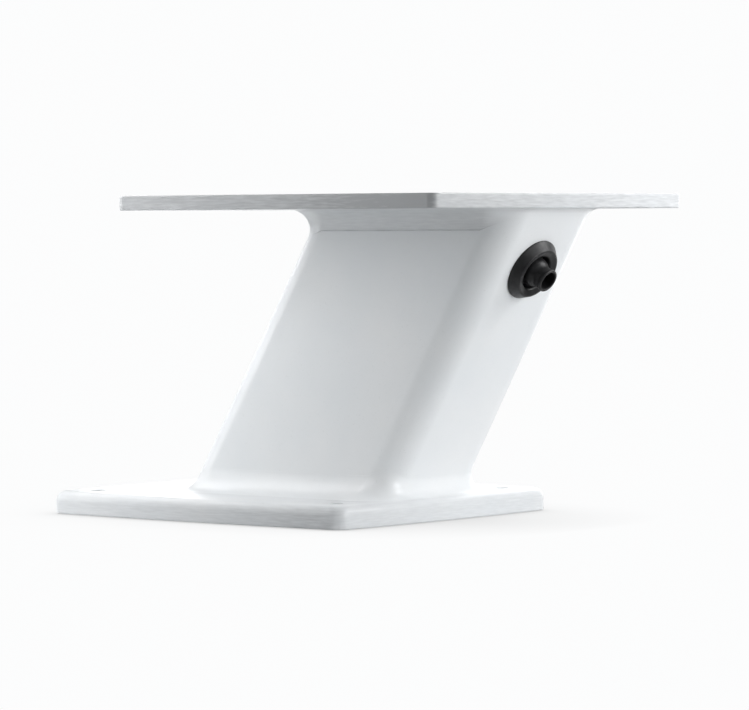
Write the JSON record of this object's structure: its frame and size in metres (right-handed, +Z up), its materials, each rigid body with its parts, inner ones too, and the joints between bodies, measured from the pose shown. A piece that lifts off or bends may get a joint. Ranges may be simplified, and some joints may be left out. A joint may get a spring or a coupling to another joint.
{
  "type": "radar mounting pedestal",
  "caption": "Raked white pedestal that carries a marine radar antenna above a deck, with a hollow column, a flat seat and a flexible rubber cable boot.",
  "frame": {"origin": "centre of the base plate's underside, where it rests on the deck", "axes": "+Z up, +X aft (the way the column leans, boot side), +Y to port"},
  "size_m": [0.332, 0.25, 0.2],
  "materials": {
    "white_paint": "gloss white powder coat",
    "boot_rubber": "matte"
  },
  "bodies": {
    "pedestal": {"base_plate": "white_paint", "column": "white_paint", "top_plate": "white_paint", "base_weld": "white_paint", "top_weld": "white_paint", "boot_flange": "boot_rubber"},
    "boot_web": {"boot_web": "boot_rubber"},
    "boot_spout": {"boot_spout": "boot_rubber"}
  },
  "joints": [
    {"name": "boot_pitch", "type": "hinge", "parent": "pedestal", "child": "boot_web", "pos_m": [0.1861, 0, 0.15316], "axis": [0, 1, 0], "range_deg": [-20, 20], "stiffness_Nm_per_rad": 0.05},
    {"name": "boot_yaw", "type": "hinge", "parent": "boot_web", "child": "boot_spout", "pos_m": [0.1861, 0, 0.15316], "axis": [0.497, 0, 0.8678], "range_deg": [-20, 20], "stiffness_Nm_per_rad": 0.05}
  ]
}
